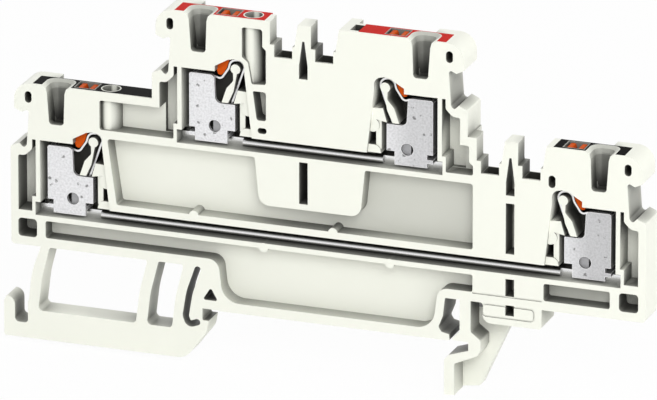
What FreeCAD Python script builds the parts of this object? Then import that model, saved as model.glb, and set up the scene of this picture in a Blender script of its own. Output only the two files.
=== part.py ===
import FreeCAD, Part
import math
import os

# Double level terminal block for a 35 mm top-hat rail, one flat housing open on one side.
# Millimetres. X runs along the block, Y across its thickness, Z up from the rail.
# The origin is on the rail's top face, at the rail's centre line and at mid-thickness.
os.makedirs("parts", exist_ok=True)

# Thickness of the block, counted in depth from the open face
pitch = 5.1
foot_depth = 3.5
partition_depth = 3.0

# Rail that the feet grip
rail_width = 35.0
rail_lip = 1.0
lip_play = 0.55
fixed_play = 0.3
latch_play = 1.85

# Levels
upper_deck = 22.9
tier_drop = 12.6
deck_wall = 0.7
station_height = 18.3
base_height = 4.4
base_wall = 1.3
seat_wall = 1.35

# Where the clamp chambers stand: middle and half span of the upper ones, and how far the
# lower left one stands out; the lower right one follows from what lies between
upper_middle = -2.8
upper_reach = 17.8
left_step = 20.0
step_ledge = 1.25
terminal_inner = 9.6

# Sections of the housing
chamber_depth = 3.6
front_wall = 1.1
pocket_depth = 2.4
slot_depth = 3.2
slot_half = 0.6
slot_point = 0.15
web = 0.9
side_wall = 0.6
outer_wall = 1.05
cavity_width = 2.5
line_width = 0.2
line_depth = 0.15
bead_radius = 0.65
upper_beads = (-16.15, 3.3)
lower_beads = (-6.4, 11.2)

# Pockets between the upper left clamp and the test hole, measured as in the chamber
nook_near = 8.45
nook_far = 11.3
nook_widen = 0.5
nook_step = 14.7
nook_floor = 9.5
nook_waist = 12.3
low_nook_near = 9.95
low_nook_top = 8.45
low_nook_floor = 4.45

# Clamp chamber, measured inward from its outer wall and up from the deck
chamber_roof = 10.55
nose_gate = 4.65
gate_rise = 0.75
pin_in = 7.4
pin_up = 11.0
pin_radius = 0.68
pin_set_back = 0.4
dome_radius = 1.35
dome_lift = 0.2
chamber_inner_top = 8.75
chamber_inner_foot = 9.8

# Busbars and the channels that hold them
bar_height = 1.1
bar_front = 1.3
bar_back = 3.4
bar_waist = 1.8
bar_end_gap = 0.1
channel_height = 1.85
channel_overrun = 0.7
channel_depth = 3.5
bar_edge = 0.5

# Clamp cages, folded from sheet
sheet = 0.5
cage_front = 0.6
cage_outer = 0.85
cage_inner = 7.25
cage_top = 9.8
cage_shelf = 5.95
cage_neck = 4.5
cage_foot = 2.3
cage_tail = 0.45
tail_outer = 1.65
tail_inner = 6.15
cage_back = 3.3
flange_depth = 1.1
cage_hole_radius = 0.85
cage_hole_in = 4.4
cage_hole_up = 2.7

# Clamp springs
leaf = 0.25
leaf_front = 1.2
leaf_back = 3.2
leaf_gap = 0.1

# Release pushers
push_front = 1.2
push_back = 3.0
push_brow = 0.3
push_gap = 0.1
push_head_outer = 4.85
push_head_inner = 7.35
push_stem_inner = 6.25
push_head_height = 2.4
push_sunk = 0.15
push_travel = 1.6
push_groove = 0.9
push_groove_foot = 0.35
push_groove_depth = 0.9

# Wire entries
wire_outer = 1.3
wire_inner = 3.4
wire_taper = 0.25
wire_sill = 12.95
wire_sill_radius = 0.5
wire_flare = 0.65
wire_flare_height = 1.0
wire_depth = 2.55
wire_back_radius = 0.9

# Marking strips inlaid in the tops
strip_thickness = 0.4
strip_lip = 0.25
strip_depth = 3.5
strip_outer = -1.05
strip_rim = 0.15
ledge_drop = 0.8
ledge_outer = 1.5
upper_left_strip = 12.55
upper_right_strip = 12.15
lower_right_strip = 9.8

# Test hole in the left terminals
test_in = 9.4
test_depth = 1.95
test_radius = 1.2
test_wall = 0.3
test_bottom = 13.0

# Marker groove on the outer side of each terminal
groove_top = 14.7
groove_floor = 9.2
groove_in = -1.5
lip_height = 9.85
shoulder = -3.6
shoulder_radius = 2.3

# Cross-connection channels between the terminals of a level
link_offset = -5.45
link_floor = 4.8
link_ledge = 3.1
link_pitch = 5.7
link_width = 2.5
link_step = 0.6
link_pocket = 6.0
link_rear_drop = 1.0
link_relief = 0.15

# Feet
foot_overhang = 1.15
foot_bottom = -7.2
foot_floor = 4.05
foot_lean = 1.7
foot_bow = 0.3
foot_bend = 14.0
seat_relief = 0.1
latch_arm = 1.5
latch_gap = 0.8
latch_lug = 1.4

front = -pitch / 2
lower_deck = upper_deck - tier_drop
upper_top = upper_deck + station_height
lower_top = lower_deck + station_height
underside = lower_deck - base_height
base_floor = underside + base_wall
terminal_outer = side_wall + cavity_width + outer_wall
link_span = link_pitch + link_step + link_width + 1.3 * link_step


# A terminal station: name, X of its chamber's outer wall, sense of "inward", deck height
class Station:
    def __init__(self, name, wall_x, inward, deck):
        self.name = name
        self.wall_x = wall_x
        self.inward = inward
        self.deck = deck

    def at(self, points):
        """Turns (inward, up) corners into (x, z) corners, keeping any corner radius."""
        return [(self.wall_x + self.inward * p[0], self.deck + p[1], *p[2:]) for p in points]


upper_left_x = upper_middle - upper_reach
upper_right_x = upper_middle + upper_reach
lower_link_left = upper_right_x + terminal_outer + step_ledge
lower_right_x = lower_link_left + link_span + terminal_inner
upper_left = Station("upper_left", upper_left_x, 1, upper_deck)
upper_right = Station("upper_right", upper_right_x, -1, upper_deck)
lower_left = Station("lower_left", upper_left_x - left_step, 1, lower_deck)
lower_right = Station("lower_right", lower_right_x, -1, lower_deck)
stations = [upper_left, upper_right, lower_left, lower_right]
upper_link_left = upper_middle + link_offset
links = [(upper_link_left, upper_top), (lower_link_left, lower_top)]
strip_lengths = {
    "upper_left": upper_left_strip,
    "upper_right": upper_right_strip,
    "lower_right": lower_right_strip,
}


def point(x, z, depth=0.0):
    return FreeCAD.Vector(x, front + depth, z)


def path_edges(corners, closed):
    """Straight runs joined by arcs at the corners that carry a radius."""
    count = len(corners)
    ends = []
    for i, corner in enumerate(corners):
        here = point(corner[0], corner[1])
        radius = corner[2] if len(corner) > 2 else 0.0
        inside = closed or 0 < i < count - 1
        if not inside or radius <= 0:
            ends.append((here, None, here))
            continue
        before = corners[i - 1]
        after = corners[(i + 1) % count]
        back = (point(before[0], before[1]) - here).normalize()
        ahead = (point(after[0], after[1]) - here).normalize()
        half = back.getAngle(ahead) / 2
        reach = radius / math.tan(half)
        middle = (back + ahead).normalize()
        crown = here + middle * (radius / math.sin(half) - radius)
        ends.append((here + back * reach, crown, here + ahead * reach))
    edges = []
    for i, (start, crown, end) in enumerate(ends):
        if crown is not None:
            edges.append(Part.Arc(start, crown, end).toShape())
        if i + 1 < count or closed:
            nearest = ends[(i + 1) % count][0]
            if end.distanceToPoint(nearest) > 1e-6:
                edges.append(Part.LineSegment(end, nearest).toShape())
    return edges


def prism(corners, near, far):
    """Solid of a closed outline between two depths from the open face."""
    face = Part.Face(Part.Wire(path_edges(corners, True)))
    face.translate(FreeCAD.Vector(0, near, 0))
    return face.extrude(FreeCAD.Vector(0, far - near, 0))


def ribbon(corners, width, near, far):
    """Solid of constant width along an open path, with round ends."""
    spine = Part.Wire(path_edges(corners, False))
    face = spine.makeOffset2D(width / 2, 0, True, False, False)
    face.translate(FreeCAD.Vector(0, near, 0))
    return face.extrude(FreeCAD.Vector(0, far - near, 0))


def rod(x, z, radius, near, far):
    return Part.makeCylinder(radius, far - near, point(x, z, near), FreeCAD.Vector(0, 1, 0))


def box(x_low, x_high, z_low, z_high, near, far):
    left = min(x_low, x_high)
    low = min(z_low, z_high)
    return Part.makeBox(abs(x_high - x_low), far - near, abs(z_high - z_low), point(left, low, near))


def rounded(x_low, x_high, z_low, z_high, radius):
    left = min(x_low, x_high)
    right = max(x_low, x_high)
    return [(left, z_low, radius), (right, z_low, radius), (right, z_high, radius), (left, z_high, radius)]


# Outline of the body

def terminal_side(station):
    """Outer side of a terminal from below the marker groove up to its shoulder."""
    outside = -terminal_outer
    return station.at([
        (outside, groove_floor + 0.1, 0.3),
        (groove_in - 1.4, lip_height),
        (groove_in - 0.75, groove_floor, 0.3),
        (groove_in - 0.35, groove_floor + 0.5, 0.4),
        (groove_in, groove_top, 0.3),
        (shoulder + 1.05, groove_top - 0.5),
        (shoulder, groove_top),
        (shoulder, station_height, shoulder_radius),
    ])


def link_edge(left, top):
    """Top edge across the two cross-connection channels and the rib between them."""
    floor = top - link_floor
    ledge = top - link_ledge
    corners = [(left, top)]
    for wall in (left, left + link_pitch):
        inside = wall + link_step
        far = inside + link_width
        corners += [
            (wall, ledge),
            (inside, ledge),
            (inside, floor),
            (far, floor),
            (far, ledge),
            (far + link_step / 2, ledge),
            (far + 1.3 * link_step, top),
            (wall + link_pitch, top),
        ]
    return corners[:-1]


column_left = lower_link_left - 0.5
column_width = 9.55
column_right = column_left + column_width
column_floor = 0.53 * underside
latch_slot_left = rail_width / 2 - 1.4
latch_side = rail_width / 2 + latch_play
lug_left = rail_width / 2 - 1.5


def body_outline():
    corners = [(lower_left.wall_x - terminal_outer, underside, 0.5)]
    corners += terminal_side(lower_left)
    corners.append((upper_left.wall_x - terminal_outer, lower_top))
    corners += terminal_side(upper_left)
    corners += link_edge(upper_link_left, upper_top)
    corners += reversed(terminal_side(upper_right))
    corners.append((upper_right.wall_x + terminal_outer, lower_top))
    corners += link_edge(lower_link_left, lower_top)
    corners += reversed(terminal_side(lower_right))
    corners.append((lower_right.wall_x + terminal_outer, underside, 0.5))
    neck = latch_side + 0.35 + 2 * latch_gap
    corners += [
        (column_right, underside),
        (column_right, column_floor, 0.4),
        (neck, column_floor, 0.2 * underside),
        (neck, underside, 0.3),
        (latch_slot_left, underside, 0.2),
        (latch_slot_left - 0.3, 0.56 * underside),
        (latch_slot_left - 0.9, 0.3 * underside, 0.4),
        (latch_slot_left - 0.5, 0.19 * underside, 0.2),
        (rail_width / 2 - 0.8, 0.15 * underside),
        (rail_width / 2 - 0.75, seat_relief),
        (lug_left + 0.5, 0.0),
        (-rail_width / 2 + 2.0, 0.0),
        (-rail_width / 2 + 1.2, seat_wall),
        (-rail_width / 2 + 0.8, underside),
    ]
    return corners


# Cuts that every terminal station has

def chamber_cut(station):
    top = pin_up + dome_lift
    corners = station.at([
        (0, 0),
        (0, chamber_roof),
        (nose_gate, chamber_roof),
        (nose_gate, chamber_roof + gate_rise),
        (pin_in - 0.9, top + 1.15),
        (pin_in, top + dome_radius, 0.3),
        (chamber_inner_top, top + dome_radius - 0.3, 1.0),
        (chamber_inner_top + 0.05, pin_up - 0.5),
        (chamber_inner_foot, channel_height),
        (chamber_inner_foot, 0),
    ])
    return prism(corners, -1, chamber_depth)


def wire_section(station, up, grow):
    """Plan of the wire entry at one height: open on the face, rounded at its back."""
    outer = station.wall_x + station.inward * (wire_outer - wire_taper - grow)
    inner = station.wall_x + station.inward * (wire_inner + wire_taper / 2 + grow)
    left = min(outer, inner)
    right = max(outer, inner)
    back = wire_depth + grow
    radius = wire_back_radius + grow / 2
    bend = radius * (1 - math.sqrt(0.5))
    z = station.deck + up
    runs = [
        (left, -1), (left, back - radius), (left + bend, back - bend), (left + radius, back),
        (right - radius, back), (right - bend, back - bend), (right, back - radius), (right, -1),
    ]
    v = [point(x, z, depth) for x, depth in runs]
    return Part.Wire([
        Part.LineSegment(v[0], v[1]).toShape(),
        Part.Arc(v[1], v[2], v[3]).toShape(),
        Part.LineSegment(v[3], v[4]).toShape(),
        Part.Arc(v[4], v[5], v[6]).toShape(),
        Part.LineSegment(v[6], v[7]).toShape(),
        Part.LineSegment(v[7], v[0]).toShape(),
    ])


def wire_mouth(station, rim=0.0):
    """The entry's flared, round-backed mouth."""
    sections = []
    for turn in (0, 45, 90):
        angle = math.radians(turn)
        up = station_height - wire_flare_height * (1 - math.sin(angle))
        sections.append(wire_section(station, up, rim + wire_flare * (1 - math.cos(angle))))
    sections.append(wire_section(station, station_height + 1, rim + wire_flare))
    return Part.makeLoft(sections, True, True)


def wire_cut(station):
    """The entry's slot below its mouth, with a round-cornered sill, and the way to the clamp."""
    foot = wire_sill + wire_sill_radius + 0.1
    mouth = station_height - wire_flare_height
    sides = station.at([
        (wire_outer, wire_sill, wire_sill_radius),
        (wire_inner, wire_sill, wire_sill_radius),
        (wire_inner, foot),
        (wire_inner + wire_taper / 2, mouth),
        (wire_outer - wire_taper, mouth),
        (wire_outer, foot),
    ])
    plan = Part.Face(wire_section(station, wire_sill, 0))
    slot = plan.extrude(FreeCAD.Vector(0, 0, mouth - wire_sill)).common(prism(sides, -1, pitch))
    way = station.at([
        (wire_outer, chamber_roof - 0.5),
        (wire_inner, chamber_roof - 0.5),
        (wire_inner, foot),
        (wire_outer, foot),
    ])
    return [wire_mouth(station), slot, prism(way, front_wall, wire_depth - 0.3)]


def pusher_window(station, rim=0.0):
    """The wide part of the pusher's shaft, which its head moves in."""
    head_floor = station_height - push_sunk - push_head_height - push_travel - push_gap
    corners = station.at([
        (push_head_outer - push_gap - rim, head_floor),
        (push_head_inner + push_gap + rim, head_floor),
        (push_head_inner + push_gap + rim, station_height + 1),
        (push_head_outer - push_gap - rim, station_height + 1),
    ])
    return prism(corners, push_front - push_gap - push_brow - rim, push_back + push_gap + rim)


def stem_cut(station):
    corners = station.at([
        (nose_gate - 0.25, chamber_roof - 0.2),
        (push_stem_inner + push_gap, chamber_roof - 0.2),
        (push_stem_inner + push_gap, station_height - 2),
        (nose_gate - 0.25, station_height - 2),
    ])
    return prism(corners, push_front - push_gap, push_back + push_gap)


def outer_cavity_cut(station, depth):
    """Hollow behind the marker groove, with the slot that springs its lip."""
    outside = -(side_wall + cavity_width)
    corners = station.at([
        (outside, 0.5),
        (outside, groove_floor - 1.0, 0.3),
        (groove_in - 0.6, groove_floor - 1.0, 1.0),
        (-side_wall - 0.5, groove_floor, 0.6),
        (-side_wall - 0.5, chamber_roof),
        (-side_wall, chamber_roof),
        (-side_wall, 2.6),
        (-channel_overrun - 0.45, 2.6),
        (-channel_overrun - 0.45, 0.5),
    ])
    return prism(corners, -1, depth)


def oval(x, z, half_x, half_z, depth):
    radius = min(half_x, half_z) * 0.98
    return prism(rounded(x - half_x, x + half_x, z - half_z, z + half_z, radius), -1, depth)


def strip_length(station):
    """Each strip's own length; the lower left one ends at the upper terminal's wall."""
    if station is lower_left:
        return left_step - terminal_outer - strip_outer
    return strip_lengths[station.name]


def marking_strip(station):
    """Thin coloured inlay; the housing comes up through it as a rim around each opening."""
    end = strip_outer + strip_length(station)
    corners = station.at([
        (strip_outer, station_height - strip_thickness),
        (end, station_height - strip_thickness),
        (end, station_height),
        (strip_outer, station_height),
    ])
    cuts = [wire_mouth(station, strip_rim), pusher_window(station, strip_rim)]
    if station.inward > 0:
        cuts.append(test_cut(station, test_radius + strip_rim))
    return prism(corners, strip_lip, strip_depth).cut(cuts).removeSplitter()


def top_ledge_cut(station):
    """Behind the strip the top steps down to the block's closed side."""
    end = strip_outer + strip_length(station) + 1
    if station is lower_left:
        end -= 1
    corners = station.at([
        (ledge_outer, station_height - ledge_drop),
        (end, station_height - ledge_drop),
        (end, station_height + 1),
        (ledge_outer, station_height + 1),
    ])
    return prism(corners, strip_depth, pitch + 1)


def station_cuts(station):
    cuts = [chamber_cut(station), outer_cavity_cut(station, slot_depth)]
    cuts += wire_cut(station)
    cuts += [pusher_window(station), stem_cut(station), marking_strip(station), top_ledge_cut(station)]
    eye = station.at([(groove_in - 0.1, groove_top + 1.7)])[0]
    cuts.append(oval(eye[0], eye[1], 0.48, 0.8, slot_depth))
    return cuts


def test_cut(station, radius):
    hole = station.at([(test_in, test_bottom)])[0]
    base = point(hole[0], hole[1], test_depth)
    return Part.makeCylinder(radius, station_height - test_bottom + 1, base)


def test_column(station, foot):
    """Round column around the test hole, standing out of the pocket below the strip."""
    x, z = station.at([(test_in, foot)])[0]
    height = station_height - ledge_drop - foot
    return Part.makeCylinder(test_radius + test_wall, height, point(x, z, test_depth))


def post(station):
    """Moulded pin that the spring hooks over, with its leg down to the cage's shelf."""
    x, z = station.at([(pin_in, pin_up)])[0]
    leg = station.at([
        (pin_in - 0.35, pin_up - 0.4),
        (pin_in - 0.3, pin_up - 1.65, 0.5),
        (pin_in - 1.25, pin_up - 2.75, 0.6),
        (pin_in - 1.95, cage_shelf + 0.25),
        (pin_in - 1.05, cage_shelf + 0.25),
        (pin_in - 0.3, pin_up - 3.15),
        (pin_in + 0.25, pin_up - 0.4),
    ])
    head = rod(x, z, pin_radius, pin_set_back, chamber_depth + 0.2)
    return head.fuse(prism(leg, pin_set_back, chamber_depth + 0.2))


def spring_guide(station):
    """Moulded blocks on the chamber's inner side: wedge, round boss, pillar and foot."""
    far = chamber_depth + 0.2
    wedge = station.at([
        (7.7, 8.1),
        (9.4, 8.0),
        (9.5, 6.6),
        (7.15, 6.2),
    ])
    boss = station.at([(9.15, 5.65)])[0]
    pillar = station.at([(7.95, 2.4), (7.95, 6.4), (8.7, 6.4), (8.7, 2.4)])
    foot = station.at([(9.9, channel_height), (9.9, 2.95), (8.2, 2.95, 0.9), (7.95, channel_height)])
    shape = prism(wedge, pin_set_back, far)
    shape = shape.fuse(rod(boss[0], boss[1], 0.95, pin_set_back, far))
    shape = shape.fuse(prism(pillar, pin_set_back + 0.2, far))
    return shape.fuse(prism(foot, pin_set_back, far))


# Pockets, slots and marks of the housing's face

def channel_cut(left, right):
    x_low = left.wall_x - channel_overrun
    x_high = right.wall_x + channel_overrun
    return box(x_low, x_high, left.deck, left.deck + channel_height, -1, channel_depth)


tab_left = upper_middle - 7.6
tab_right = upper_middle + 7.75
tab_floor = upper_deck - 7.25
rib_wall = 0.95
lobe_left = -rail_width / 2 + 2.6
lobe_right = rail_width / 2 - 3.05
lobe_lean = 0.65
lobe_rise = base_floor - seat_wall


def level_pocket():
    """Wide pocket under the upper deck, around the tab that hangs in its middle."""
    left = lower_left.wall_x + 9.5
    roof = upper_deck - deck_wall
    floor = lower_deck + channel_height + rib_wall
    corners = [
        (left, roof, 0.4),
        (tab_left, roof, 0.3),
        (tab_left + lobe_lean, tab_floor, 1.5),
        (tab_right - lobe_lean, tab_floor, 1.5),
        (tab_right, roof, 0.3),
        (column_left, roof, 0.4),
        (column_left, floor, 0.3),
        (left + 2 * lobe_lean, floor, 0.3),
    ]
    return corners


def base_pocket():
    """Long pocket under the lower deck, with the deep lobe over the rail."""
    roof = lower_deck - deck_wall
    left = lower_left.wall_x + 0.7
    corners = [
        (left, roof, 0.3),
        (column_left, roof, 0.3),
        (column_left, base_floor, 0.3),
        (lobe_right + lobe_lean, base_floor, 0.27 * lobe_rise),
        (lobe_right, seat_wall, 0.44 * lobe_rise),
        (lobe_left, seat_wall, 0.44 * lobe_rise),
        (lobe_left - lobe_lean, base_floor, 0.27 * lobe_rise),
        (left, base_floor, 0.3),
    ]
    return corners


def face_pockets():
    roof = lower_deck - deck_wall
    ceiling = upper_deck - deck_wall
    shelf = upper_deck + 0.45
    cuts = [prism(level_pocket(), -1, pocket_depth), prism(base_pocket(), -1, pocket_depth)]
    corner = rounded(column_right + 0.25, lower_right.wall_x - 0.75, base_floor, roof, 0.3)
    cuts.append(prism(corner, -1, pocket_depth))
    for station in (lower_left, lower_right):
        square = station.at([(-0.5, 0), (-side_wall - cavity_width - 0.05, 0)])
        corner = rounded(square[0][0], square[1][0], base_floor - 0.1, roof + 0.05, 0.5)
        cuts.append(prism(corner, -1, slot_depth))
    # Pocket between the lower left terminal and the upper left one
    inner = upper_left.wall_x - channel_overrun - 0.45
    between = rounded(lower_left.wall_x + 8.45, inner, shelf, lower_top - 1.15, 0.3)
    cuts.append(prism(between, -1, pocket_depth))
    # Steps down to the right of the upper right terminal
    outer = upper_right.wall_x + channel_overrun + 0.45
    step = column_left - 0.55
    low = upper_deck + channel_height
    cuts.append(prism([
        (outer, shelf, 0.2),
        (column_left, shelf, 0.3),
        (column_left, low - 0.1, 0.2),
        (step, low + 0.4, 0.2),
        (step, lower_top - 1.2, 0.3),
        (outer, lower_top - 1.2),
    ], -1, pocket_depth))
    # Two pockets beside the upper left clamp
    wide = nook_far + nook_widen
    cuts.append(prism(upper_left.at([
        (nook_near, station_height - 1.2, 0.3),
        (nook_far, station_height - 1.2, 0.4),
        (nook_far, nook_step),
        (wide, nook_step - nook_widen),
        (wide, nook_floor, 0.3),
        (nook_near + 1.35, nook_floor - 0.15, 0.3),
        (nook_near + 0.85, nook_waist, 0.6),
        (nook_near, nook_waist + 0.7, 0.2),
    ]), -1, pocket_depth))
    cuts.append(prism(upper_left.at([
        (low_nook_near, low_nook_top, 0.2),
        (wide, low_nook_top, 0.4),
        (wide, low_nook_floor, 0.3),
        (low_nook_near + 0.55, low_nook_floor, 0.4),
    ]), -1, pocket_depth))
    # Narrow slots down the middle of the rib, the tab and the column
    for left, top in links:
        middle = left + link_pitch - 1.05
        cuts.append(prism([
            (middle - slot_point, top - 2.2),
            (middle + slot_point, top - 2.2),
            (middle + slot_half, top - 5.6),
            (middle + slot_half, top - 7.4),
            (middle - slot_half, top - 7.4),
            (middle - slot_half, top - 5.6),
        ], -1, slot_depth))
    slots = [
        (upper_link_left, tab_floor + 0.8, ceiling + 0.05),
        (lower_link_left, lower_deck + 2.8, lower_top - 8.5),
        (lower_link_left, base_floor - 0.05, roof),
        (lower_link_left, underside - 1.4, underside + 0.05),
    ]
    for left, low, high in slots:
        middle = left + link_pitch - 1.05
        cuts.append(box(middle - slot_half, middle + slot_half, low, high, -1, slot_depth))
    cuts.append(oval(lower_right.wall_x - 8.8, lower_top - 4.75, 0.48, 0.85, slot_depth))
    cuts.append(oval(upper_left.wall_x + 11.25, upper_deck + 3.05, 0.62, 0.4, slot_depth))
    return cuts


def label_lines():
    """Fine lines around the label field at the foot of the column."""
    left = column_left + 1.3
    right = column_right - 0.95
    low = underside - 1.9
    high = underside - 0.05
    field = rounded(left, right, low, high, 0.6)
    inside = rounded(left + line_width, right - line_width, low + line_width, high - line_width, 0.4)
    frame = prism(field, -1, line_depth).cut(prism(inside, -2, line_depth + 1))
    rule = box(column_left, column_right, base_floor - 0.2, base_floor - 0.2 + line_width, -1, line_depth)
    return [frame, rule]


def wall_relief(wall, top):
    """Shallow slanted relief at the rear of a channel's wall."""
    ledge = top - link_ledge
    corners = [
        point(wall - link_relief, top + 1, partition_depth - 1.3),
        point(wall - link_relief, top + 1, partition_depth + 1),
        point(wall - link_relief, ledge, partition_depth + 1),
        point(wall - link_relief, ledge, partition_depth - 0.3),
    ]
    face = Part.Face(Part.makePolygon(corners + corners[:1]))
    return face.extrude(FreeCAD.Vector(1, 0, 0))


def link_cuts():
    """Each cross-connection channel: its lowered rear, its jumper pocket and its walls' reliefs."""
    cuts = []
    for left, top in links:
        floor = top - link_floor
        right = left + link_span
        cuts.append(box(left - 1.1, right, floor - link_rear_drop, top + 1, partition_depth, pitch + 1))
        for wall in (left, left + link_pitch):
            inside = wall + link_step
            cuts.append(box(inside + 0.1, inside + link_width, floor - link_pocket, floor + 1,
                            0.35, partition_depth - 0.15))
            cuts.append(wall_relief(wall, top))
    # Empty end of the strip's recess on the upper right
    end = upper_right.wall_x - strip_outer - upper_right_strip
    cuts.append(box(end - 1.25, end, upper_top - 2.2, upper_top + 1, 0.6, partition_depth - 0.15))
    return cuts


def ribs():
    """Half-round stiffening beads on the rib between the levels."""
    rib_top = lower_deck + channel_height + rib_wall
    rib_under = lower_deck - deck_wall
    beads = []
    for x in upper_beads:
        beads.append(rod(upper_middle + x, rib_top - 0.1, bead_radius, 0, pocket_depth + 0.1))
    for x in lower_beads:
        beads.append(rod(upper_middle + x, rib_under + 0.1, bead_radius, 0, pocket_depth + 0.1))
    return beads


# Feet

def foot_window(left, right):
    """Opening between two legs of the rigid foot; both sides lean and bow a little."""
    floor = foot_bottom + foot_floor
    middle = (underside + floor) / 2
    bow = foot_lean / 2 + foot_bow
    return prism([
        (left, underside, 0.3),
        (right, underside, 0.3),
        (right - bow, middle, foot_bend),
        (right - foot_lean, floor, 0.5),
        (left - foot_lean, floor, 0.6),
        (left - bow, middle, foot_bend),
    ], -1, foot_depth + 1)


def left_foot():
    """Rigid foot with its windows, the slotted lip at its end and the fixed jaw."""
    left = lower_left.wall_x - terminal_outer - foot_overhang
    leg = lower_left.wall_x
    jaw_x = -rail_width / 2 - fixed_play
    jaw_z = -rail_lip - lip_play
    top = underside + 0.5
    shape = prism([
        (leg + 0.2, top),
        (leg - 1.3, (top + foot_bottom + 5.4) / 2, foot_bend),
        (leg - 1.75, foot_bottom + 5.4),
        (leg - 1.9, foot_bottom + 5.1),
        (leg - 1.9, foot_bottom + 2.1, 0.5),
        (left + 1.55, foot_bottom + 2.1, 0.6),
        (left + 1.55, foot_bottom + 5.5, 1.1),
        (left + 0.35, foot_bottom + 5.6, 0.1),
        (left, foot_bottom + 4.9, 0.2),
        (left, foot_bottom, 0.3),
        (jaw_x - 2.4, foot_bottom, 2.2),
        (jaw_x + 0.6, foot_bottom + 4.0, 2.0),
        (jaw_x + 0.9, jaw_z),
        (jaw_x, jaw_z, 0.2),
        (jaw_x, seat_relief),
        (jaw_x + 2.4, seat_relief),
        (jaw_x + 2.4, top),
    ], 0, foot_depth)
    cuts = [foot_window(leg + 1.25, jaw_x - 7.7), foot_window(jaw_x - 6.15, jaw_x - 2.6)]
    slot_top = jaw_x - 0.65
    hook = [
        (slot_top, underside - 0.45),
        (slot_top - foot_lean / 2 - foot_bow, (underside - 1.6) / 2, 1.36 * underside),
        (slot_top - foot_lean, -1.2, 1.0),
        (slot_top - 1.25, -2.4, 0.6),
        (slot_top - 0.1, -1.95),
    ]
    cuts.append(ribbon(hook, 0.9, -1, foot_depth + 1))
    return shape.cut(cuts)


def arrow_cut():
    apex = -rail_width / 2 + 0.9
    base = 0.23 * underside
    return prism([
        (apex, 0.54 * underside, 0.25),
        (apex + 1.0, base, 0.22),
        (apex - 1.15, base, 0.22),
    ], -1, foot_depth)


def right_foot():
    """Sprung arm with the latching hook, its lug, and the thin web behind it."""
    side = latch_side
    arm_right = side + 0.3
    arm_left = arm_right - latch_arm
    hook = prism([
        (arm_left, underside + 0.5),
        (arm_left, 1.5, 0.3),
        (lug_left + 0.9, 0.15, 0.2),
        (side, 0.1),
        (side, -rail_lip - 0.1),
        (lug_left + 0.65, -rail_lip - 1.0),
        (lug_left, -rail_lip - 1.7, 0.3),
        (lug_left, foot_bottom - 0.4),
        (lug_left + latch_lug, foot_bottom - 0.4),
        (lug_left + latch_lug, -3.15, 0.3),
        (side + 1.25, -1.7, 0.4),
        (side + 1.7, -0.85, 0.4),
        (side + 1.7, 0.55, 0.4),
        (arm_right, 1.6, 0.4),
        (arm_right, underside + 0.5),
    ], 0, foot_depth)
    web_plate = prism([
        (arm_left, column_floor + 0.8),
        (latch_side + 5.5, column_floor + 0.8),
        (latch_side + 0.55, foot_bottom + 0.1, 0.6),
        (lug_left + 0.3, foot_bottom - 0.4),
        (lug_left + 0.3, -3.4),
        (arm_left, -2.0),
    ], foot_depth, pitch)
    return hook.fuse(web_plate)


def back_recesses():
    """The closed side is cored out behind the wide pockets, leaving an even web."""
    recesses = []
    for pocket in (level_pocket(), base_pocket()):
        corners = [corner[:2] for corner in pocket]
        recesses.append(prism(corners, pocket_depth + web, pitch + 1))
    return recesses


def housing():
    body = prism(body_outline(), 0, pitch)
    body = body.fuse([left_foot(), right_foot()])
    body = body.cut(face_pockets())
    body = body.fuse([test_column(upper_left, 9.3), test_column(lower_left, 13.0)])
    cuts = [channel_cut(upper_left, upper_right), channel_cut(lower_left, lower_right), arrow_cut()]
    for station in stations:
        cuts += station_cuts(station)
    for station in (upper_left, lower_left):
        cuts.append(test_cut(station, test_radius))
    cuts += label_lines()
    cuts += link_cuts()
    cuts += back_recesses()
    body = body.cut(cuts)
    extras = ribs()
    for station in stations:
        extras += [post(station), spring_guide(station)]
    return body.fuse(extras).removeSplitter()


# Metal parts

def busbar(left, right):
    """Flat bar with rounded front edges, set back where it passes the cages."""
    x_low = left.wall_x - channel_overrun + bar_end_gap
    x_high = right.wall_x + channel_overrun - bar_end_gap
    bar = box(x_low, x_high, left.deck, left.deck + bar_height, bar_front, bar_back)
    edges = [e for e in bar.Edges if abs(e.BoundBox.YMax - front - bar_front) < 1e-6
             and e.BoundBox.XLength > 1]
    bar = bar.makeFillet(bar_edge, edges)
    for station in (left, right):
        waist = station.at([(-channel_overrun - 1, -1), (cage_inner + 0.8, bar_height + 1)])
        bar = bar.cut(box(waist[0][0], waist[1][0], waist[0][1], waist[1][1], 0, bar_waist))
    return bar


def clamp_cage(station):
    """Folded sheet: the tall face with shelf and tail, its outer wall and a short inner flange."""
    face = station.at([
        (cage_outer, cage_foot),
        (cage_outer, cage_top, 0.3),
        (cage_neck - 0.2, cage_top, 0.6),
        (cage_neck, cage_shelf, 0.8),
        (cage_inner, cage_shelf),
        (cage_inner, cage_foot),
        (tail_inner, cage_foot),
        (tail_inner, cage_tail),
        (tail_outer, cage_tail),
        (tail_outer, cage_foot),
    ])
    shape = prism(face, cage_front, cage_front + sheet)
    x, z = station.at([(cage_hole_in, cage_hole_up)])[0]
    shape = shape.cut(rod(x, z, cage_hole_radius, 0, pitch))
    wall = station.at([(cage_outer, cage_foot), (cage_outer + sheet, cage_top - 0.3)])
    shape = shape.fuse(box(wall[0][0], wall[1][0], wall[0][1], wall[1][1], cage_front, cage_back))
    flange = station.at([(cage_inner - 0.4, cage_foot), (cage_inner, cage_shelf - 0.4)])
    reach = cage_front + flange_depth
    shape = shape.fuse(box(flange[0][0], flange[1][0], flange[0][1], flange[1][1], cage_front, reach))
    floor = station.at([(cage_outer, bar_height), (tail_inner, bar_height + sheet)])
    shape = shape.fuse(box(floor[0][0], floor[1][0], floor[0][1], floor[1][1], cage_front, cage_back))
    return shape.removeSplitter()


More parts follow.
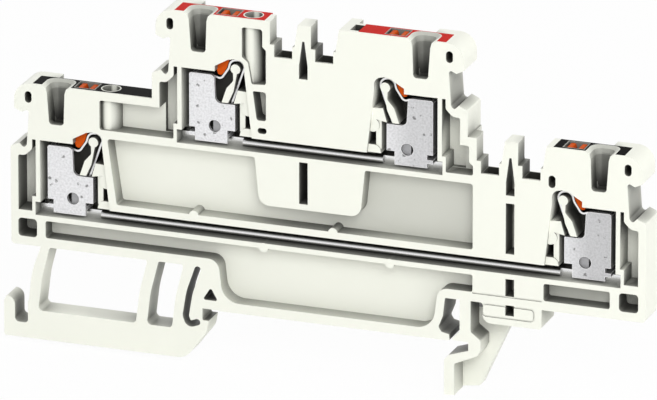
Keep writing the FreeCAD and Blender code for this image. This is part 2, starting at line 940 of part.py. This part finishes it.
def clamp_spring(station):
    """Leaf that stands on the cage floor, wraps over the moulded pin and dips under the pusher."""
    wrap = pin_radius + leaf_gap + leaf / 2
    foot_up = bar_height + sheet + leaf / 2 + 0.02
    lean = 0.349
    side = math.hypot(1, lean)
    right_in = pin_in + wrap / side
    right_up = pin_up - wrap * lean / side
    foot_in = right_in - lean * (right_up - foot_up)
    corners = station.at([
        (foot_in - 1.6, foot_up),
        (foot_in, foot_up, 0.5),
        (right_in + lean * (wrap + 0.35), pin_up + wrap + 0.05, wrap),
        (pin_in - wrap, pin_up + wrap + 0.05, wrap),
        (pin_in - wrap - 0.35, pin_up - 0.3, 0.9),
        (pin_in - 2.3, pin_up - 1.85, 0.6),
        (pin_in - 3.5, pin_up - 1.45, 0.4),
        (wire_outer + 0.9, cage_shelf + 0.3),
    ])
    return ribbon(corners, leaf, leaf_front, leaf_back)


def release_pusher(station):
    """Stem with the sloping nose that bears on the spring, and a grooved head."""
    top = station_height - push_sunk
    head_foot = top - push_head_height
    stem = station.at([
        (nose_gate - 0.15, chamber_roof - 0.2),
        (nose_gate + 0.05, chamber_roof - 0.75),
        (nose_gate + 0.45, chamber_roof - 0.85, 0.2),
        (nose_gate + 0.85, chamber_roof - 0.5),
        (push_stem_inner - 0.3, chamber_roof + 0.35),
        (push_stem_inner, chamber_roof + 1.3),
        (push_stem_inner, head_foot + 0.1),
        (nose_gate - 0.15, head_foot + 0.1),
    ])
    middle = (push_head_outer + push_head_inner) / 2
    head = station.at([
        (push_head_outer, head_foot),
        (push_head_inner, head_foot),
        (push_head_inner, top, 0.3),
        (middle + push_groove / 2, top, 0.2),
        (middle + push_groove_foot / 2, top - push_groove_depth),
        (middle - push_groove_foot / 2, top - push_groove_depth),
        (middle - push_groove / 2, top, 0.2),
        (push_head_outer, top, 0.3),
    ])
    shape = prism(stem, push_front, push_back).fuse(prism(head, push_front - push_brow, push_back))
    return shape.removeSplitter()


def export(name, shape):
    shape.exportStep("parts/" + name + ".step")
    print(name, len(shape.Solids), round(shape.Volume, 2), shape.isValid())


export("housing", housing())
export("upper_busbar", busbar(upper_left, upper_right))
export("lower_busbar", busbar(lower_left, lower_right))
for station in stations:
    export("clamp_cage_" + station.name, clamp_cage(station))
    export("clamp_spring_" + station.name, clamp_spring(station))
    export("release_pusher_" + station.name, release_pusher(station))
    export("marking_strip_" + station.name, marking_strip(station))
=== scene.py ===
import math

import bmesh
import bpy
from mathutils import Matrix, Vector


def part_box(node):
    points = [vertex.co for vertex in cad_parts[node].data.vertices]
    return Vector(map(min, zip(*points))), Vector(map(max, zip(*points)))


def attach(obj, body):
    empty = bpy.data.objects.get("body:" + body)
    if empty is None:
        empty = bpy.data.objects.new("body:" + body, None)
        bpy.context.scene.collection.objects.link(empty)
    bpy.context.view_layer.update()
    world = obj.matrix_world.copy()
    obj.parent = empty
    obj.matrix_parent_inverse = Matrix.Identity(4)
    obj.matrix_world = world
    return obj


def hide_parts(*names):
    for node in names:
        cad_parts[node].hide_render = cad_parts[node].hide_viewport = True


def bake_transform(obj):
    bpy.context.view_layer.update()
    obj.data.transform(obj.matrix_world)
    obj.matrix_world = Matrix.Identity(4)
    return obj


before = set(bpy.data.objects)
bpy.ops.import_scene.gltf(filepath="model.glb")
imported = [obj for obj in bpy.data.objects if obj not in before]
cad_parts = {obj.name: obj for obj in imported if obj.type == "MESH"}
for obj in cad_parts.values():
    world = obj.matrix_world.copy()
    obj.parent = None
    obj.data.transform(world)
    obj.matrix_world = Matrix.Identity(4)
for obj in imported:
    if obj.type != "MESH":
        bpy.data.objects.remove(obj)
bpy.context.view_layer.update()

# Camera. The photograph looks down on the open face from the front right, through a long
# lens, so that upright edges stay upright and the four levels of the block step down to
# the right.
aim = Vector((-0.0001, -0.00255, 0.0175))
azimuth = math.radians(20)
elevation = math.radians(20)
distance = 1.57
sight = Vector((
    math.sin(azimuth) * math.cos(elevation),
    -math.cos(azimuth) * math.cos(elevation),
    math.sin(elevation),
))
lens = bpy.data.cameras.new("long_lens")
lens.sensor_width = 36
lens.lens = 657.5
lens.clip_start = 0.05
lens.clip_end = 20
camera = bpy.data.objects.new("camera", lens)
camera.location = aim + sight * distance
camera.rotation_euler = (-sight).to_track_quat("-Z", "Y").to_euler()
bpy.context.scene.collection.objects.link(camera)
bpy.context.scene.camera = camera

# Housing. One moulding in warm off-white plastic, finely spark-eroded on its faces. Its
# pockets and slots are narrow and deep, so they look dark from outside; that shade is partly
# real and partly painted into the colour.
cream = (0.925, 0.935, 0.845, 1)
cream_dull = (0.905, 0.915, 0.822, 1)
# Painted shade: the colour where the housing sees least sky
cream_painted_shade = (0.026, 0.026, 0.022, 1)
# Painted shade, lighter, deep in the column of slots at the right
column_painted_shade = (0.80, 0.80, 0.75, 1)
melt_size = 0.006
grain_size = 0.00022
grain_relief = 0.000006
faces_out = 0.99
turns_away = 0.92
egg_core = 0.45
box_core = 0.96


def finish(name, roughness, metallic=0.0):
    """A material with its node tree, its shader and its Object coordinates."""
    material = bpy.data.materials.new(name)
    material.use_nodes = True
    tree = material.node_tree
    shader = tree.nodes["Principled BSDF"]
    shader.inputs["Roughness"].default_value = roughness
    shader.inputs["Metallic"].default_value = metallic
    return material, tree, shader, tree.nodes.new("ShaderNodeTexCoord")


def feed(tree, value, socket):
    """Links an output to the socket, or sets the socket to a plain value."""
    if isinstance(value, bpy.types.NodeSocket):
        tree.links.new(value, socket)
    else:
        socket.default_value = value


def reckon(tree, operation, *values, clamp=False):
    """What a Math node makes of outputs and plain numbers."""
    node = tree.nodes.new("ShaderNodeMath")
    node.operation = operation
    node.use_clamp = clamp
    for value, socket in zip(values, node.inputs):
        feed(tree, value, socket)
    return node.outputs["Value"]


def ramp(tree, value, start, end, at_start=0, at_end=1, shape="LINEAR"):
    """Goes from at_start to at_end while the value goes from start to end, and no further."""
    node = tree.nodes.new("ShaderNodeMapRange")
    node.interpolation_type = shape
    node.inputs["From Min"].default_value = start
    node.inputs["From Max"].default_value = end
    node.inputs["To Min"].default_value = at_start
    node.inputs["To Max"].default_value = at_end
    tree.links.new(value, node.inputs["Value"])
    return node.outputs["Result"]


def mixed(tree, share, first, second, kind="RGBA"):
    """First where the share is 0, second where it is 1, and in proportion between."""
    node = tree.nodes.new("ShaderNodeMix")
    node.data_type = kind
    feed(tree, share, node.inputs["Factor"])
    feed(tree, first, node.inputs["A"])
    feed(tree, second, node.inputs["B"])
    return node.outputs["Result"]


def noise(tree, place, size, detail):
    """Noise with patches of about the size given."""
    node = tree.nodes.new("ShaderNodeTexNoise")
    node.inputs["Scale"].default_value = 1 / size
    node.inputs["Detail"].default_value = detail
    tree.links.new(place.outputs["Object"], node.inputs["Vector"])
    return node


def grain(tree, shader, place, size, relief):
    """Bump from fine noise: the height is the noise times the relief."""
    fine = noise(tree, place, size, detail=3)
    bump = tree.nodes.new("ShaderNodeBump")
    bump.inputs["Distance"].default_value = relief
    bump.inputs["Strength"].default_value = 1
    tree.links.new(fine.outputs["Fac"], bump.inputs["Height"])
    tree.links.new(bump.outputs["Normal"], shader.inputs["Normal"])
    return fine


def waver(tree, place, dark, light, size):
    """Two near colours, mixed as the soft noise says: dark at 0 and light at 1."""
    soft = noise(tree, place, size, detail=2)
    return mixed(tree, soft.outputs["Fac"], dark, light)


def apart(tree, vector, axis):
    """The part of a vector along one axis."""
    parts = tree.nodes.new("ShaderNodeSeparateXYZ")
    tree.links.new(vector, parts.inputs["Vector"])
    return parts.outputs[axis]


def sky_share(tree, place, reach, low, high, power, entry=None, alone=False):
    """How much of its open colour a point keeps, from the share of the sky that it sees.

    Side walls keep that share to a power. Surfaces that face the open side keep all of it
    until the share falls below high, and nothing below low. Between the two depths of
    entry they follow the power as well, as the backs of narrow entries do. A piece that
    is alone isn't darkened by what is fitted into it. The second value is 1 on surfaces
    that face the open side and 0 on walls.
    """
    sky = tree.nodes.new("ShaderNodeAmbientOcclusion")
    sky.inputs["Distance"].default_value = reach
    sky.samples = 16
    sky.only_local = alone
    wall = reckon(tree, "POWER", sky.outputs["AO"], power)
    ground = ramp(tree, sky.outputs["AO"], low, high, shape="SMOOTHSTEP")
    facing = ramp(tree, apart(tree, place.outputs["Normal"], "Y"), -turns_away, -faces_out)
    level = facing
    if entry:
        depth = apart(tree, place.outputs["Object"], "Y")
        inside = reckon(tree, "COMPARE", depth, (entry[0] + entry[1]) / 2,
                        (entry[1] - entry[0]) / 2)
        level = reckon(tree, "SUBTRACT", facing, inside, clamp=True)
    return mixed(tree, level, wall, ground, "FLOAT"), facing


def in_radii(tree, place, middle, radii):
    """The way from middle to the point, counted in radii along each axis."""
    node = tree.nodes.new("ShaderNodeMapping")
    node.inputs["Scale"].default_value = [1 / radius for radius in radii]
    node.inputs["Location"].default_value = [-m / radius for m, radius in zip(middle, radii)]
    tree.links.new(place.outputs["Object"], node.inputs["Vector"])
    return node.outputs["Vector"]


def egg(tree, place, middle, radii, inside, outside=1.0):
    """Goes from inside to outside with the distance from middle, counted in radii.

    Within the core of the egg it is all inside, and from 1 radius on all outside.
    """
    away = tree.nodes.new("ShaderNodeVectorMath")
    away.operation = "LENGTH"
    tree.links.new(in_radii(tree, place, middle, radii), away.inputs[0])
    return ramp(tree, away.outputs["Value"], egg_core, 1, at_start=inside, at_end=outside)


def block_mask(tree, place, middle, halves, inside):
    """Inside up to the faces of a box, and 1 beyond them.

    The largest of the three distances, counted in half sides, says how near a face is.
    """
    sizes = tree.nodes.new("ShaderNodeVectorMath")
    sizes.operation = "ABSOLUTE"
    tree.links.new(in_radii(tree, place, middle, halves), sizes.inputs[0])
    x, y, z = (apart(tree, sizes.outputs["Vector"], axis) for axis in "XYZ")
    largest = reckon(tree, "MAXIMUM", reckon(tree, "MAXIMUM", x, y), z)
    return ramp(tree, largest, box_core, 1, at_start=inside)


def on_walls(tree, facing, mask):
    """The mask on walls, where facing is 0, and 1 on surfaces that face the open side."""
    return mixed(tree, facing, mask, 1, "FLOAT")


def coat(name, material):
    """Puts one finish on every material slot of a carried-over piece."""
    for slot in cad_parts[name].material_slots:
        slot.material = material


plastic, tree, shader, place = finish("housing_plastic", roughness=0.55)
grain(tree, shader, place, grain_size, grain_relief)
# Painted shade: the plastic's colour darkens with the share of the sky that each point sees
share, facing = sky_share(tree, place, reach=0.006, low=0.03, high=0.25, power=1.6,
                          entry=(-0.00008, 0.00052), alone=True)
masks = []

# The backs of the wire entries, the jumper pockets and the floors of the clamp chambers
# get painted shade, darker than the sky that they see would leave them. Each is known by its
# Y, give or take half a band, and has the share that it keeps
wire_back = (0.0, 0.00005, 0.65)
jumper_pocket = (0.0003, 0.0001, 0.10)
clamp_floor = (0.00105, 0.00006, 0.03)

depth = apart(tree, place.outputs["Object"], "Y")
for middle, half, kept in (wire_back, jumper_pocket, clamp_floor):
    band = reckon(tree, "COMPARE", depth, middle, half)
    inside = reckon(tree, "MULTIPLY", band, facing)
    masks.append(ramp(tree, inside, 0, 1, at_start=1, at_end=kept))

# Painted shade: light reaches least into the feet of the four wire entries, less into their
# funnels, and little into the windows round the pusher heads
wire_feet = ((-0.0383, 0.0220), (-0.0183, 0.0346), (0.0127, 0.0346), (0.0373, 0.0220))
funnel_rise = 0.0066
pusher_windows = ((-0.0345, 0.0273), (-0.0145, 0.0399), (0.0089, 0.0399), (0.0335, 0.0273))

for x, z in wire_feet:
    masks.append(egg(tree, place, middle=(x, 0, z),
                     radii=(0.0024, 0.00245, 0.0042), inside=0.05))
    masks.append(egg(tree, place, middle=(x, 0, z + funnel_rise),
                     radii=(0.0030, 0.00245, 0.0036), inside=0.60))
for x, z in pusher_windows:
    masks.append(block_mask(tree, place, middle=(x, -0.0006, z),
                            halves=(0.00152, 0.00132, 0.0015), inside=0.22))

# In the two right clamps the gap behind the spring gets painted shade and the wall in
# front of it painted light
right_gaps = ((0.0088, 0.0309), (0.0334, 0.0183))
wall_before_gap = 0.0030
wall_above_gap = 0.0012

for x, z in right_gaps:
    masks.append(egg(tree, place, middle=(x, -0.0002, z),
                     radii=(0.0024, 0.0019, 0.0034), inside=0.10))
    masks.append(egg(tree, place, middle=(x - wall_before_gap, -0.0006, z + wall_above_gap),
                     radii=(0.0013, 0.0022, 0.0048), inside=12.0))

# The pockets under the two right clamps get painted shade, darker than the left ones
masks.append(egg(tree, place, middle=(0.0130, -0.0001, 0.0175),
                 radii=(0.0220, 0.0023, 0.0090), inside=0.70))
masks.append(egg(tree, place, middle=(0.0325, -0.0001, 0.0082),
                 radii=(0.0080, 0.0023, 0.0025), inside=0.72))

# Painted shade lies on the walls of the posts between the jumper slots, of the rigid foot's
# window and of the notches at the right end. The pockets beside the right clamps get painted
# light up to their near walls
jumper_posts = ((-0.0022, 0.0386), (0.0264, 0.0260))
foot_window = (-0.0315, 0, -0.0032)
notches = ((0.0167, 0.0340), (0.0418, 0.0219))

walls = [egg(tree, place, middle=(x, 0, z), radii=(0.0026, 0.0045, 0.0034), inside=0.42)
         for x, z in jumper_posts]
walls.append(egg(tree, place, foot_window, radii=(0.0070, 0.0040, 0.0022), inside=0.75))
walls += [egg(tree, place, middle=(x, 0, z), radii=(0.0026, 0.0045, 0.0040), inside=0.50)
          for x, z in notches]
walls.append(egg(tree, place, middle=(0.0157, 0, 0.0262),
                 radii=(0.0018, 0.0030, 0.0048), inside=6.0))
walls.append(egg(tree, place, middle=(0.0404, 0, 0.0142),
                 radii=(0.0018, 0.0030, 0.0058), inside=6.0))
masks += [on_walls(tree, facing, wall) for wall in walls]

for mask in masks:
    share = reckon(tree, "MULTIPLY", share, mask)

# Deep in the column of slots at the right the painted shade is a little lighter than
# elsewhere, and the moulding's colour wavers a little where the melt flowed
column = egg(tree, place, middle=(0.02505, 0.0008, 0.0150),
             radii=(0.0013, 0.0010, 0.0300), inside=1.0, outside=0.0)
shade_color = mixed(tree, column, cream_painted_shade, column_painted_shade)
flow = waver(tree, place, cream_dull, cream, melt_size)
tree.links.new(mixed(tree, share, shade_color, flow), shader.inputs["Base Color"])
coat("housing", plastic)

# Busbars. Two flat copper bars, tinned bright, pressed into slots along the two levels.
# They carry faint drawing lines along their length.
tin = (0.90, 0.90, 0.90, 1)
tin_painted_shade = (0.05, 0.05, 0.052, 1)
line_width = 0.0001
line_relief = 0.000003
line_stretch = 0.02


def paint_crevice_shade(tree, shader, place, shade_color, light, reach, low, high, power):
    """The base colour, painted with shade: from shade to light by the share of the sky that
    is seen.
    """
    share, facing = sky_share(tree, place, reach, low, high, power)
    tree.links.new(mixed(tree, share, shade_color, light), shader.inputs["Base Color"])


bright, tree, shader, place = finish("tinned_copper", roughness=0.24, metallic=1.0)
stretch = tree.nodes.new("ShaderNodeMapping")
stretch.inputs["Scale"].default_value = (line_stretch, 1, 1)
tree.links.new(place.outputs["Object"], stretch.inputs["Vector"])
lines = grain(tree, shader, place, line_width, line_relief)
tree.links.new(stretch.outputs["Vector"], lines.inputs["Vector"])
# Painted shade darkens the bars where they see little sky
paint_crevice_shade(tree, shader, place, tin_painted_shade, tin, reach=0.002, low=0.0, high=0.25, power=1.0)
for level in ("upper", "lower"):
    coat(level + "_busbar", bright)

# Clamp cages. Folded from galvanised sheet: dull grey with a slight lilac cast, grainy,
# with a few dark pits where the coating took badly.
corners = ("upper_left", "upper_right", "lower_left", "lower_right")
zinc = (0.885, 0.885, 0.90, 1)
zinc_dark = (0.735, 0.735, 0.745, 1)
# Painted shade colour for the sheet's hollows
zinc_painted_shade = (0.10, 0.10, 0.10, 1)
sheet_grain = 0.00028
sheet_relief = 0.000016
grain_low = 0.35
grain_high = 0.62
pit_color = (0.26, 0.26, 0.26, 1)
pits_per_metre = 900
pit_core = 0.15
pit_edge = 0.25
pit_draw = 0.38
pit_raggedness = 0.0007
# Painted highlight on the rims
rim_highlight = (1.0, 1.0, 1.0, 1)
rim_width = 0.00014
flat_turn = 0.995
rim_turn = 0.88

galvanised, tree, shader, place = finish("galvanised_sheet", roughness=0.5, metallic=0.3)
speckle = grain(tree, shader, place, sheet_grain, sheet_relief)
crisp = ramp(tree, speckle.outputs["Fac"], grain_low, grain_high)
mottle = mixed(tree, crisp, zinc_dark, zinc)

# Pits are the cores of the cells whose draw is above pit_draw, with ragged edges
ragged = tree.nodes.new("ShaderNodeVectorMath")
ragged.operation = "MULTIPLY_ADD"
ragged.inputs[1].default_value = (pit_raggedness, pit_raggedness, pit_raggedness)
tree.links.new(speckle.outputs["Color"], ragged.inputs[0])
tree.links.new(place.outputs["Object"], ragged.inputs[2])
cells = tree.nodes.new("ShaderNodeTexVoronoi")
cells.inputs["Scale"].default_value = pits_per_metre
tree.links.new(ragged.outputs["Vector"], cells.inputs["Vector"])
pits = ramp(tree, cells.outputs["Distance"], pit_core, pit_edge, at_start=1, at_end=0)
draw = tree.nodes.new("ShaderNodeSeparateColor")
tree.links.new(cells.outputs["Color"], draw.inputs["Color"])
chosen = reckon(tree, "GREATER_THAN", draw.outputs["Red"], pit_draw)
pitted = mixed(tree, reckon(tree, "MULTIPLY", pits, chosen), mottle, pit_color)

# Painted shade darkens the sheet where it sees little sky, and the two right cages a little
# more than the left ones
share, facing = sky_share(tree, place, reach=0.002, low=0.1, high=0.5, power=1.5)
for x, z, kept in ((0.0140, 0.0280, 0.73), (0.0385, 0.0155, 0.64)):
    right_cage_shade = egg(tree, place, middle=(x, 0, z), radii=(0.0072, 0.010, 0.020), inside=kept)
    share = reckon(tree, "MULTIPLY", share, right_cage_shade)
sheet_with_shade = mixed(tree, share, zinc_painted_shade, pitted)

# The sheet's rims get a painted highlight: white where the bevelled normal turns away from
# the true one
rounded = tree.nodes.new("ShaderNodeBevel")
rounded.samples = 8
rounded.inputs["Radius"].default_value = rim_width
plain = tree.nodes.new("ShaderNodeNewGeometry")
turn = tree.nodes.new("ShaderNodeVectorMath")
turn.operation = "DOT_PRODUCT"
tree.links.new(rounded.outputs["Normal"], turn.inputs[0])
tree.links.new(plain.outputs["True Normal"], turn.inputs[1])
rim_highlight_mask = ramp(tree, turn.outputs["Value"], flat_turn, rim_turn)
tree.links.new(mixed(tree, rim_highlight_mask, sheet_with_shade, rim_highlight), shader.inputs["Base Color"])
for corner in corners:
    coat("clamp_cage_" + corner, galvanised)

# Behind the hole of each cage lies the inner fold of its sheet, which comes back from the
# flange and ends in a straight edge that shows through the hole
hole_from_edge = 0.00285
hole_from_foot = 0.00225
fold_reach = 0.00147
fold_past_hole = 0.00037
fold_height = 0.0022
fold_back = 0.00054
fold_thickness = 0.00006
# The inner sheet has the zinc's colour with painted shade, wavering between two shaded tones
shaded_zinc = (0.50, 0.50, 0.51, 1)
shaded_zinc_dark = (0.36, 0.36, 0.37, 1)
shade_size = 0.0006

inner_sheet, tree, shader, place = finish("inner_sheet", roughness=0.5, metallic=0.3)
grain(tree, shader, place, sheet_grain, sheet_relief)
shades = waver(tree, place, shaded_zinc_dark, shaded_zinc, shade_size)
tree.links.new(shades, shader.inputs["Base Color"])

for corner in corners:
    low_end, high_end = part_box("clamp_cage_" + corner)
    inward = 1 if corner.endswith("left") else -1
    edge = high_end[0] if inward > 0 else low_end[0]
    middle = edge - inward * (hole_from_edge + fold_past_hole - fold_reach / 2)
    bpy.ops.mesh.primitive_cube_add(
        size=1, location=(middle, low_end[1] + fold_back, low_end[2] + hole_from_foot))
    fold = bpy.context.object
    fold.name = "inner_fold_" + corner
    fold.scale = (fold_reach, fold_thickness, fold_height)
    bpy.ops.object.transform_apply(location=False, rotation=False, scale=True)
    fold.data.materials.append(inner_sheet)
    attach(fold, "block")

# Clamp springs. Bent from bright spring-steel strip, one over the moulded pin of each
# clamp.
steel = (0.90, 0.90, 0.90, 1)
steel_painted_shade = (0.06, 0.06, 0.06, 1)
steel_grain = 0.0001
steel_relief = 0.000002

sprung, tree, shader, place = finish("spring_steel", roughness=0.28, metallic=1.0)
grain(tree, shader, place, steel_grain, steel_relief)
# Painted shade darkens the springs where they see little sky
paint_crevice_shade(tree, shader, place, steel_painted_shade, steel, reach=0.002, low=0.0, high=0.3, power=1.5)
for corner in corners:
    coat("clamp_spring_" + corner, sprung)

# Each spring is shown by a copy of its CAD leaf, with its doubled points merged and its faces
# shaded smooth up to the crease angle; the CAD node is hidden
crease = math.radians(30)
same_point = 1e-7

for corner in corners:
    node = "clamp_spring_" + corner
    leaf = bpy.data.objects.new("bent_leaf_" + corner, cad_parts[node].data.copy())
    bpy.context.scene.collection.objects.link(leaf)
    edit = bmesh.new()
    edit.from_mesh(leaf.data)
    bmesh.ops.remove_doubles(edit, verts=edit.verts, dist=same_point)
    edit.to_mesh(leaf.data)
    edit.free()
    leaf.data.shade_smooth()
    leaf.data.set_sharp_from_angle(angle=crease)
    low_end, high_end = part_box(node)
    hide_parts(node)
    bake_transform(leaf)

# Release pushers. Moulded in orange plastic, each with a slot for a screwdriver in its
# head and a sloping nose that bears on the spring.
orange = (0.72, 0.105, 0.010, 1)
orange_dull = (0.62, 0.085, 0.008, 1)
orange_painted_shade = (0.25, 0.030, 0.003, 1)
cloud_size = 0.0012

signal, tree, shader, place = finish("orange_plastic", roughness=0.42)
grain(tree, shader, place, grain_size, grain_relief / 2)
shader.inputs["Specular IOR Level"].default_value = 0.02
clouds = waver(tree, place, orange_dull, orange, cloud_size)
# Painted shade darkens the pushers where they see little sky
paint_crevice_shade(tree, shader, place, orange_painted_shade, clouds, reach=0.002, low=0.0, high=0.3, power=1.0)
for corner in corners:
    coat("release_pusher_" + corner, signal)

# Marking strips. Thin coloured inlays in the tops, red on the upper level and black on
# the lower one, each with a fine matt face.
red = (0.67, 0.032, 0.024, 1)
red_dull = (0.57, 0.020, 0.015, 1)
black = (0.0045, 0.0045, 0.0045, 1)
black_dull = (0.0025, 0.0025, 0.0025, 1)

for level, color, dull_color in (("upper", red, red_dull), ("lower", black, black_dull)):
    matt, tree, shader, place = finish(level + "_strip_plastic", roughness=0.5)
    tree.links.new(waver(tree, place, dull_color, color, cloud_size),
                   shader.inputs["Base Color"])
    shader.inputs["Specular IOR Level"].default_value = 0.01
    grain(tree, shader, place, grain_size, grain_relief)
    for side in ("_left", "_right"):
        coat("marking_strip_" + level + side, matt)

# Floor, lamps and sky. A plain white floor and a white sky, a soft key lamp at the front
# right, a weaker one at the right, so that pocket floors darken towards their upper right
# corners while the block's outer sides stay light, and a faint one behind.
floor_size = 3.0
floor_height = -0.0076
floor_white = (0.93, 0.93, 0.93, 1)
floor_glow = 0.95
sky_white = (1, 1, 1, 1)
sky_strength = 0.49
key_power = 3.1
key_place = (0.32, -0.62, 0.44)
side_power = 1.6
side_place = (0.66, -0.08, 0.48)
back_power = 1.0
back_place = (-0.40, 0.62, 0.24)
lamp_size = 0.4
lamp_aim = Vector((0, 0, 0.017))


def seen_directly(tree):
    """1 for camera, glossy and transmission rays, 0 for the rays that light the object."""
    path = tree.nodes.new("ShaderNodeLightPath")
    total = path.outputs["Is Camera Ray"]
    for kind in ("Is Glossy Ray", "Is Transmission Ray"):
        total = reckon(tree, "ADD", total, path.outputs[kind], clamp=True)
    return total


def either(tree, share, first, second, end):
    """Feeds the end of a tree with first, and with second as far as the share says."""
    blend = tree.nodes.new("ShaderNodeMixShader")
    tree.links.new(share, blend.inputs["Fac"])
    tree.links.new(first, blend.inputs[1])
    tree.links.new(second, blend.inputs[2])
    tree.links.new(blend.outputs["Shader"], end)


bpy.ops.mesh.primitive_plane_add(size=floor_size, location=(0, 0, floor_height))
floor = bpy.context.object
floor.name = "floor"
white_floor, tree, shader, place = finish("white_floor", roughness=0.9)
shader.inputs["Base Color"].default_value = floor_white
glow = tree.nodes.new("ShaderNodeEmission")
glow.inputs["Strength"].default_value = 1
either(tree, reckon(tree, "MULTIPLY", seen_directly(tree), floor_glow),
       shader.outputs["BSDF"], glow.outputs["Emission"],
       tree.nodes["Material Output"].inputs["Surface"])
floor.data.materials.append(white_floor)

world = bpy.data.worlds.new("sky")
bpy.context.scene.world = world
world.use_nodes = True
tree = world.node_tree
lit = tree.nodes["Background"]
lit.inputs["Color"].default_value = sky_white
lit.inputs["Strength"].default_value = sky_strength
seen = tree.nodes.new("ShaderNodeBackground")
seen.inputs["Strength"].default_value = 1
either(tree, seen_directly(tree), lit.outputs["Background"], seen.outputs["Background"],
       tree.nodes["World Output"].inputs["Surface"])

for name, power, stands in (("key_lamp", key_power, key_place),
                            ("side_lamp", side_power, side_place),
                            ("back_lamp", back_power, back_place)):
    lamp = bpy.data.lights.new(name, "AREA")
    lamp.shape = "SQUARE"
    lamp.size = lamp_size
    lamp.energy = power
    stand = bpy.data.objects.new(name, lamp)
    stand.location = stands
    stand.rotation_euler = (lamp_aim - stand.location).to_track_quat("-Z", "Y").to_euler()
    bpy.context.scene.collection.objects.link(stand)

bpy.context.scene.view_settings.view_transform = "Standard"
